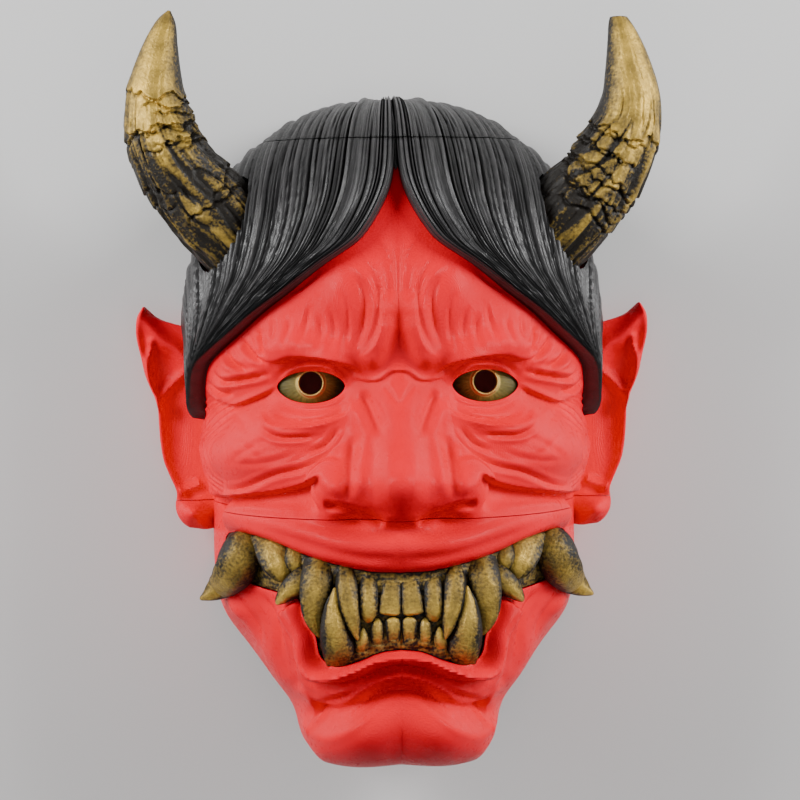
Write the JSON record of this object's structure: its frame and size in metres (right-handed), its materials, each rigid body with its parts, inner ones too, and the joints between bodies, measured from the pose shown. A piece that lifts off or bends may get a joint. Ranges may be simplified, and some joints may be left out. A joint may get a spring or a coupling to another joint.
{
  "type": "hannya mask",
  "caption": "Hollow printed demon mask with parted hair, curved horns, pointed ears, sight holes in domed eyes, and tusks and fangs in an open mouth.",
  "frame": {"origin": "under the middle of the whole mask, on the level of its rim", "axes": "+Z out of the face, +Y from the chin to the horn tips, X across the face"},
  "size_m": [0.2002, 0.2818, 0.1149],
  "materials": {
    "red_print": "semi-gloss red print with fine layer lines",
    "charcoal_print": "satin charcoal print",
    "rubbed_gold": "black-brown print with gold paint rubbed over the high spots",
    "eye_gold": "olive-gold paint with a brighter ring round the sight hole"
  },
  "bodies": {
    "root": {"face_upper": "red_print", "face_lower": "red_print", "hair_crown": "charcoal_print", "hair_front": "charcoal_print", "horn_left": "rubbed_gold", "horn_right": "rubbed_gold", "eye_left": "eye_gold", "eye_right": "eye_gold", "teeth": "rubbed_gold"}
  },
  "joints": []
}
